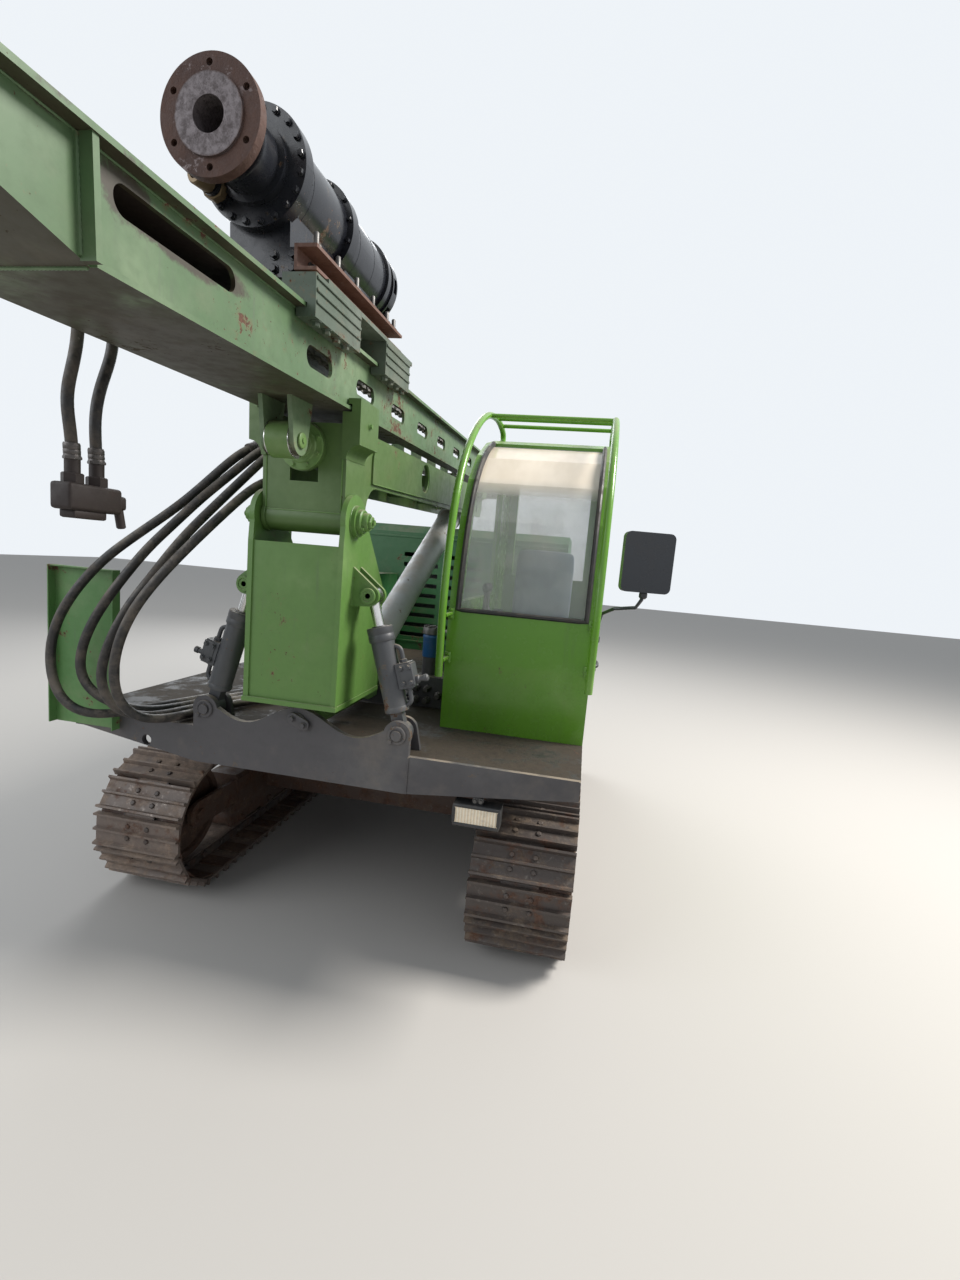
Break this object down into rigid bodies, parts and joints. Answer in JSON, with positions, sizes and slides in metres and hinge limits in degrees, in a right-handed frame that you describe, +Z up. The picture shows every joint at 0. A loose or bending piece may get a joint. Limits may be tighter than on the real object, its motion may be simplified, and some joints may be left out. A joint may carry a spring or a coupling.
{
  "type": "rotary piling rig",
  "caption": "Crawler-mounted rotary piling rig with a tilting column, a raising mast laid level over the machine, a sliding rotary drive head, an operator's cab and an engine housing.",
  "frame": {"origin": "middle of the whole part's box in X and Y, on the ground under the tracks", "axes": "+X to the cab side, which is the machine's right as its driver faces the drive head, +Y to the rear along the parked mast, +Z up"},
  "size_m": [2.5588, 5.8536, 3.0477],
  "materials": {
    "track_steel": "worn, rusty and earthy",
    "rusty_frame": "rust-brown, muddy",
    "deck_paint": "worn blue-grey paint",
    "black_paint": "dull black",
    "cab_green": "glossy mid green",
    "clear_glass": "clear",
    "seat_fabric": "dark fabric",
    "dark_green": "dark green paint",
    "engine_grey": "dull",
    "mast_green": "worn green paint",
    "cylinder_paint": "grey paint",
    "rod_chrome": "polished",
    "chain_steel": "oiled and dusty",
    "brown_steel": "oxidised brown",
    "hose_rubber": "dusty rubber"
  },
  "bodies": {
    "undercarriage": {"track_left": "track_steel", "track_right": "track_steel", "side_frame_left": "rusty_frame", "side_frame_right": "rusty_frame", "rollers_left": "rusty_frame", "rollers_right": "rusty_frame", "car_body": "rusty_frame"},
    "upper": {"platform": "deck_paint", "cross_plate": "deck_paint", "tilt_brackets": "deck_paint", "tilt_pins": "deck_paint", "work_lamp": "black_paint", "cab_shell": "cab_green", "cab_roof_guard": "cab_green", "cab_glass": "clear_glass", "seat": "seat_fabric", "console": "black_paint", "mirror": "black_paint", "engine_housing": "dark_green", "engine": "engine_grey", "fuel_tank": "cab_green", "hydraulic_tank": "cab_green", "guard_panel": "mast_green", "valve_block": "deck_paint", "manifold": "deck_paint", "loop_hose_1": "hose_rubber", "loop_hose_2": "hose_rubber", "loop_hose_3": "hose_rubber", "loop_hose_4": "hose_rubber"},
    "door": {"cab_door": "cab_green", "door_glass": "clear_glass"},
    "column": {"column": "mast_green", "raise_pins": "mast_green"},
    "tilt_barrel_right": {"tilt_barrel_right": "cylinder_paint"},
    "tilt_rod_right": {"tilt_rod_right": "rod_chrome"},
    "tilt_barrel_left": {"tilt_barrel_left": "cylinder_paint"},
    "tilt_rod_left": {"tilt_rod_left": "rod_chrome"},
    "raise_barrel": {"raise_barrel": "cylinder_paint"},
    "raise_rod": {"raise_rod": "rod_chrome"},
    "cradle": {"cradle": "mast_green", "slide_barrel": "mast_green"},
    "mast": {"mast": "mast_green", "slide_rod": "rod_chrome", "feed_chain": "chain_steel", "chain_drive": "chain_steel", "hang_hose_1": "hose_rubber", "hang_hose_2": "hose_rubber", "hang_block": "brown_steel"},
    "head": {"head_sled": "mast_green", "head_mount": "brown_steel", "head_body": "black_paint"},
    "spindle": {"spindle": "brown_steel"}
  },
  "joints": [
    {"name": "slew", "type": "hinge", "parent": "undercarriage", "child": "upper", "pos_m": [-0.12944, 0.39781, 0.81], "axis": [0, 0, 1], "continuous": true},
    {"name": "cab_door", "type": "hinge", "parent": "upper", "child": "door", "pos_m": [1.00956, 0.08281, 1.7], "axis": [0, 0, 1], "range_deg": [0, 100]},
    {"name": "column_tilt", "type": "hinge", "parent": "upper", "child": "column", "pos_m": [-0.12944, -1.30719, 1.1], "axis": [0, 1, 0], "range_deg": [-5, 5], "deforming": ["loop_hose_1", "loop_hose_2", "loop_hose_3", "loop_hose_4"]},
    {"name": "tilt_barrel_right_pivot", "type": "hinge", "parent": "upper", "child": "tilt_barrel_right", "pos_m": [0.28256, -1.30719, 1.1], "axis": [0, 1, 0], "range_deg": [-6, 6]},
    {"name": "tilt_rod_right_slide", "type": "slide", "parent": "tilt_barrel_right", "child": "tilt_rod_right", "axis": [-0.2815, 0, 0.9596], "range_m": [-0.035, 0.035]},
    {"name": "tilt_barrel_left_pivot", "type": "hinge", "parent": "upper", "child": "tilt_barrel_left", "pos_m": [-0.54144, -1.30719, 1.1], "axis": [0, 1, 0], "range_deg": [-6, 6]},
    {"name": "tilt_rod_left_slide", "type": "slide", "parent": "tilt_barrel_left", "child": "tilt_rod_left", "axis": [0.2815, 0, 0.9596], "range_m": [-0.035, 0.035]},
    {"name": "mast_raise", "type": "hinge", "parent": "column", "child": "cradle", "pos_m": [-0.12944, -1.35219, 1.9], "axis": [1, 0, 0], "range_deg": [0, 87.5], "deforming": ["hang_hose_1", "hang_hose_2", "hang_block"]},
    {"name": "raise_barrel_pivot", "type": "hinge", "parent": "column", "child": "raise_barrel", "pos_m": [-0.12944, -0.73219, 1.2], "axis": [1, 0, 0], "range_deg": [0, 75.65]},
    {"name": "raise_rod_slide", "type": "slide", "parent": "raise_barrel", "child": "raise_rod", "axis": [0, 0.875, 0.4842], "range_m": [0, 1.177]},
    {"name": "mast_slide", "type": "slide", "parent": "cradle", "child": "mast", "axis": [0, -0.999, -0.0436], "range_m": [0, 0.35]},
    {"name": "head_slide", "type": "slide", "parent": "mast", "child": "head", "axis": [0, 0.999, 0.0436], "range_m": [-0.7, 3.3]},
    {"name": "spindle_turn", "type": "hinge", "parent": "head", "child": "spindle", "pos_m": [-0.12944, -1.8945, 2.85826], "axis": [0, 0.999, 0.0436], "continuous": true}
  ],
  "couplings": [
    {"joint": "tilt_barrel_right_pivot", "follows": "column_tilt", "ratio": 0.78931},
    {"joint": "tilt_rod_right_slide", "follows": "column_tilt", "m_per_rad": -0.39509},
    {"joint": "tilt_barrel_left_pivot", "follows": "column_tilt", "ratio": 0.78931},
    {"joint": "tilt_rod_left_slide", "follows": "column_tilt", "m_per_rad": 0.39509},
    {"joint": "raise_barrel_pivot", "follows": "mast_raise", "ratio": 0.86341},
    {"joint": "raise_rod_slide", "follows": "mast_raise", "m_per_rad": 0.77041}
  ]
}
